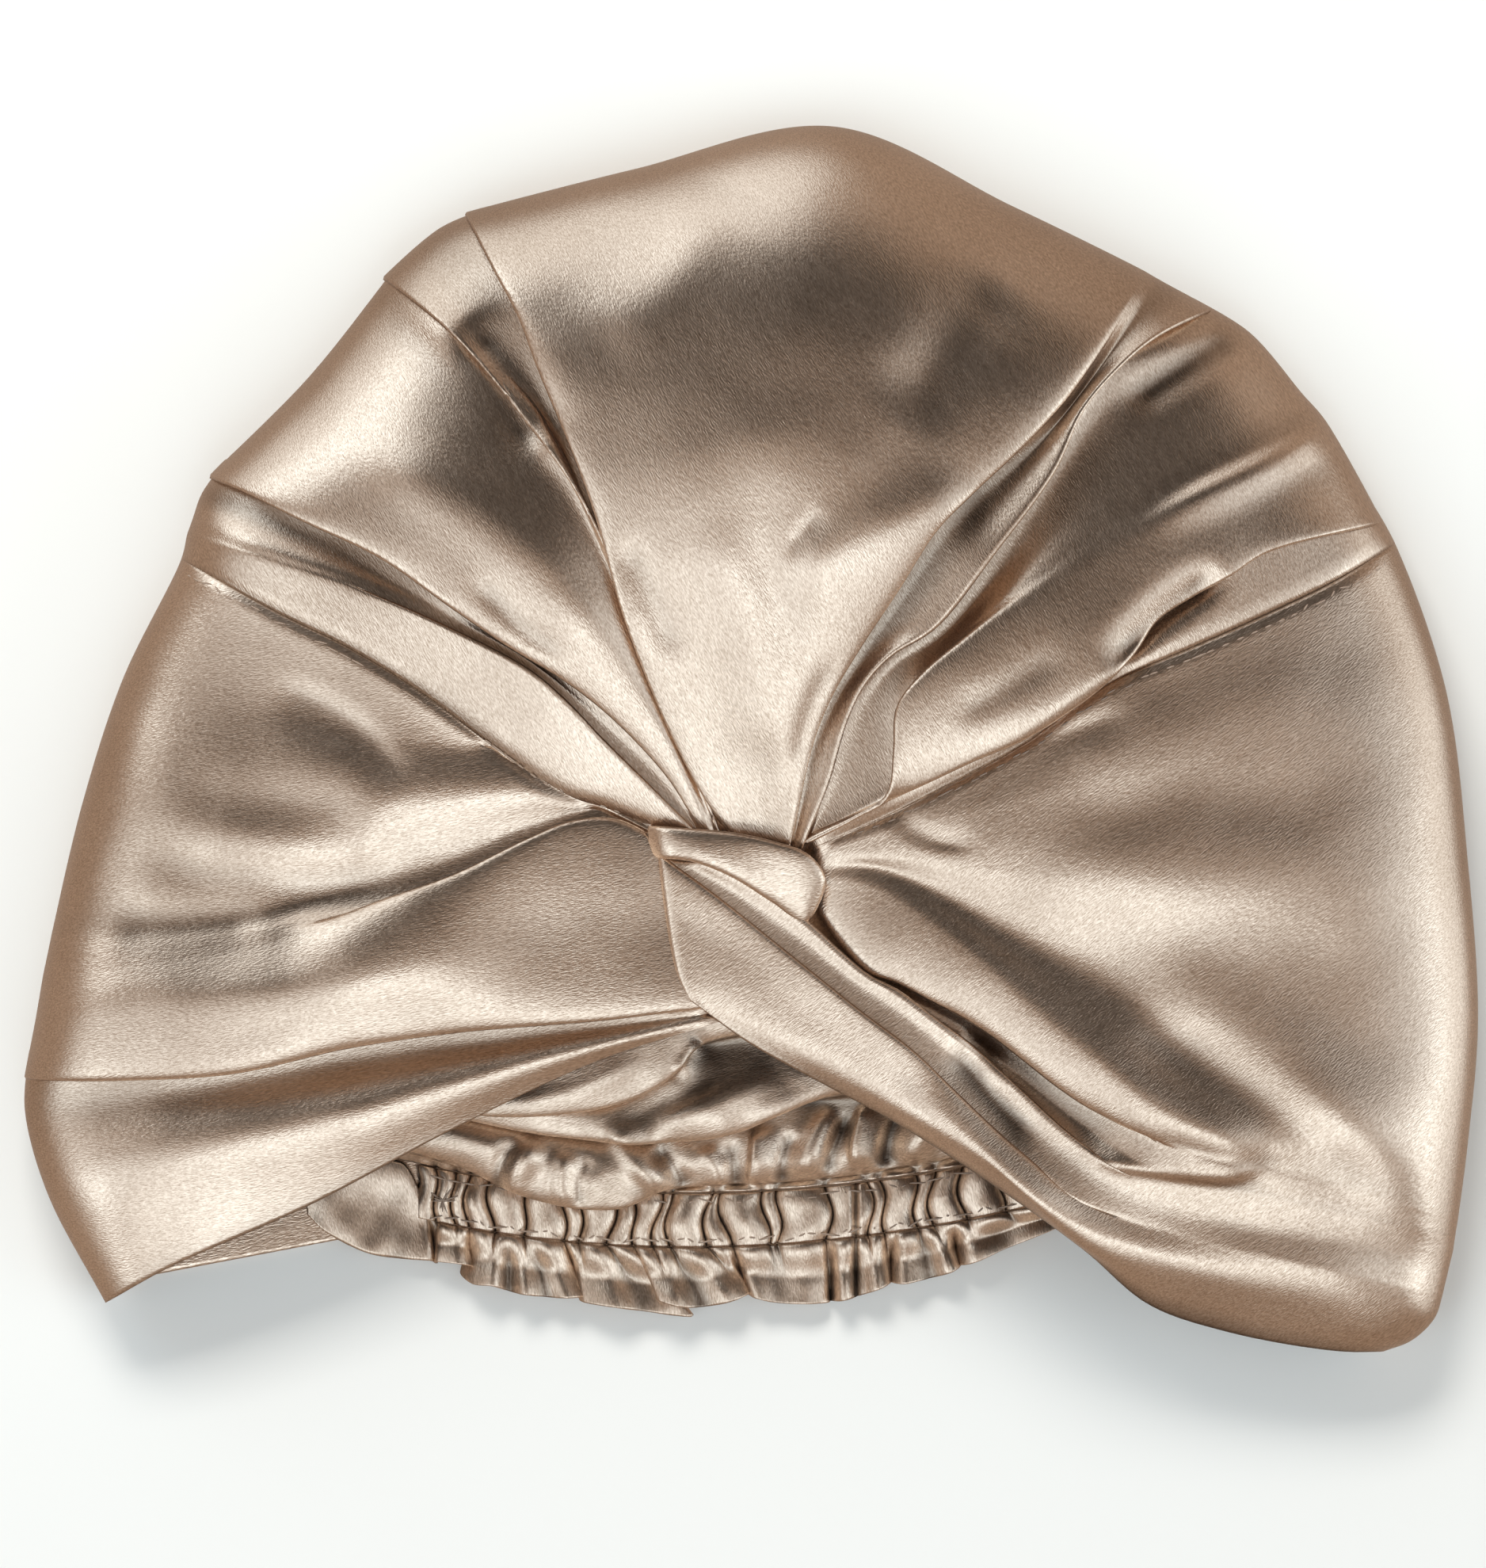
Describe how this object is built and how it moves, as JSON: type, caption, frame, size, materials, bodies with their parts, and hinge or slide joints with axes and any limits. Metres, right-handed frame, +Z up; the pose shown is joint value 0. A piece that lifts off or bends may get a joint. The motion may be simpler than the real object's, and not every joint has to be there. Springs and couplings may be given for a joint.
{
  "type": "satin turban sleep bonnet",
  "caption": "Satin turban sleep bonnet with a pleated crown, a front twist and a gathered elastic nape, lying flat on its back.",
  "frame": {"origin": "middle of the footprint, on the surface that the bonnet lies on", "axes": "+Z up from the surface, +Y to the top of the crown, +X to the right side of the bonnet seen from above"},
  "size_m": [0.2984, 0.251, 0.0475],
  "materials": {
    "satin": "champagne satin with a soft broad sheen",
    "lining_satin": "the same satin inside, in deeper shade",
    "nape_satin": "the same satin, gathered over elastic and sewn with two rows of stitches"
  },
  "bodies": {
    "root": {"crown": "satin", "band_left": "satin", "band_right": "satin", "twist_loop": "satin", "lining": "lining_satin", "nape_casing": "nape_satin", "nape_ruffle": "nape_satin"}
  },
  "joints": []
}
